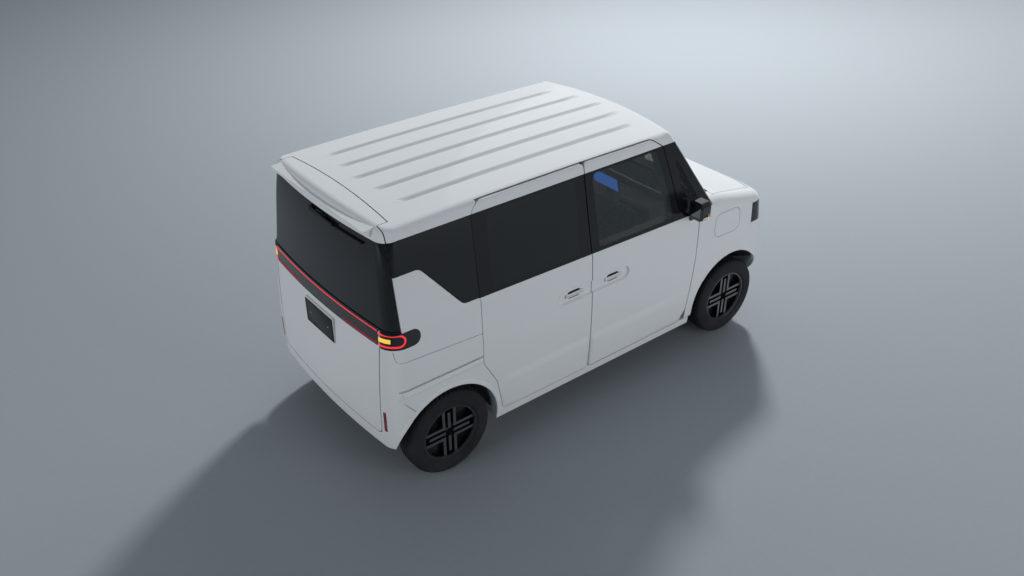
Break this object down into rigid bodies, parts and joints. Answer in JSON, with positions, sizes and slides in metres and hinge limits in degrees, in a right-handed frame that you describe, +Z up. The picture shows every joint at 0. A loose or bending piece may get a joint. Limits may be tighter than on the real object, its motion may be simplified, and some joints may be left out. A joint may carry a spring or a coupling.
{
  "type": "kei car",
  "caption": "Tall boxy electric light van of the kei class, with front hinged doors, rear sliding doors, a lifting tailgate, steered front wheels and an open cabin.",
  "frame": {"origin": "on the ground under the middle of the bounding box", "axes": "+X forward, +Y to the car's left, +Z up"},
  "size_m": [3.395, 1.744, 1.7999],
  "materials": {
    "body_paint": "pearl white gloss",
    "black_trim": "gloss black",
    "black_plastic": "grained matte",
    "glass": "tinted",
    "lamp_red": "clear red lens",
    "lamp_clear": "clear lens",
    "tyre": "rubber",
    "wheel_metal": "gloss black with machined faces",
    "steel": "satin black",
    "cast": "raw cast",
    "floor_paint": "body primer",
    "battery": "cast case",
    "seat_cloth": "woven cloth",
    "dash_plastic": "grained"
  },
  "bodies": {
    "body": {"body_side_right": "body_paint", "body_side_left": "body_paint", "roof_panel": "body_paint", "fender_right": "body_paint", "fender_left": "body_paint", "front_bumper": "body_paint", "rear_bumper": "body_paint", "cowl_panel": "black_plastic", "slide_door_right": "body_paint", "slide_door_left": "body_paint", "slide_door_glass": "glass", "windscreen": "glass", "quarter_glass": "glass", "headlamps": "lamp_clear", "tail_lamps": "lamp_red", "floor_pan": "floor_paint", "battery_pack": "battery", "arch_liners": "black_plastic", "front_suspension": "steel", "front_struts": "steel", "drive_unit": "battery", "rear_axle": "steel", "front_seats": "seat_cloth", "rear_seats": "seat_cloth", "dashboard": "dash_plastic"},
    "door_right": {"front_door_right": "body_paint", "front_door_glass_right": "glass", "mirror_right": "black_trim"},
    "door_left": {"front_door_left": "body_paint", "front_door_glass_left": "glass", "mirror_left": "black_trim"},
    "gate": {"tailgate": "body_paint", "tailgate_glass": "glass", "tailgate_lamp": "lamp_red"},
    "hood": {"bonnet": "body_paint"},
    "flap": {"charge_flap": "body_paint"},
    "helm": {"steering_wheel": "dash_plastic"},
    "steer_right": {"knuckle_right": "cast"},
    "steer_left": {"knuckle_left": "cast"},
    "roll_front_right": {"tyre_front_right": "tyre", "wheel_front_right": "wheel_metal"},
    "roll_front_left": {"tyre_front_left": "tyre", "wheel_front_left": "wheel_metal"},
    "roll_rear_right": {"tyre_rear_right": "tyre", "wheel_rear_right": "wheel_metal"},
    "roll_rear_left": {"tyre_rear_left": "tyre", "wheel_rear_left": "wheel_metal"}
  },
  "joints": [
    {"name": "steer_right_turn", "type": "hinge", "parent": "body", "child": "steer_right", "pos_m": [1.27, -0.56705, 0.297], "axis": [0, 0.2174, 0.9761], "range_deg": [-35, 35]},
    {"name": "steer_left_turn", "type": "hinge", "parent": "body", "child": "steer_left", "pos_m": [1.27, 0.56705, 0.297], "axis": [0, -0.2174, 0.9761], "range_deg": [-36, 36]},
    {"name": "helm_turn", "type": "hinge", "parent": "body", "child": "helm", "pos_m": [0.47, -0.335, 0.964], "axis": [-0.92, 0, 0.392], "range_deg": [-530, 530]},
    {"name": "wheel_front_right_spin", "type": "hinge", "parent": "steer_right", "child": "roll_front_right", "pos_m": [1.27, -0.64, 0.297], "axis": [0, 1, 0], "continuous": true},
    {"name": "wheel_front_left_spin", "type": "hinge", "parent": "steer_left", "child": "roll_front_left", "pos_m": [1.27, 0.64, 0.297], "axis": [0, 1, 0], "continuous": true},
    {"name": "wheel_rear_right_spin", "type": "hinge", "parent": "body", "child": "roll_rear_right", "pos_m": [-1.25, -0.64, 0.297], "axis": [0, 1, 0], "continuous": true},
    {"name": "wheel_rear_left_spin", "type": "hinge", "parent": "body", "child": "roll_rear_left", "pos_m": [-1.25, 0.64, 0.297], "axis": [0, 1, 0], "continuous": true},
    {"name": "door_right_swing", "type": "hinge", "parent": "body", "child": "door_right", "pos_m": [0.83, -0.727, 0.7], "axis": [0, 0.0436, 0.999], "range_deg": [0, 68]},
    {"name": "door_left_swing", "type": "hinge", "parent": "body", "child": "door_left", "pos_m": [0.83, 0.727, 0.7], "axis": [0, 0.0436, -0.999], "range_deg": [0, 68]},
    {"name": "gate_lift", "type": "hinge", "parent": "body", "child": "gate", "pos_m": [-1.472, 0, 1.793], "axis": [0, 1, 0], "range_deg": [0, 80]},
    {"name": "hood_lift", "type": "hinge", "parent": "body", "child": "hood", "pos_m": [1.066, 0, 1.197], "axis": [0, -1, 0], "range_deg": [0, 50]},
    {"name": "flap_swing", "type": "hinge", "parent": "body", "child": "flap", "pos_m": [1.295, -0.7319, 0.97], "axis": [0, 0.0443, 0.999], "range_deg": [0, 80]}
  ],
  "couplings": [
    {"joint": "steer_left_turn", "follows": "steer_right_turn", "ratio": 1},
    {"joint": "helm_turn", "follows": "steer_right_turn", "ratio": 15}
  ]
}
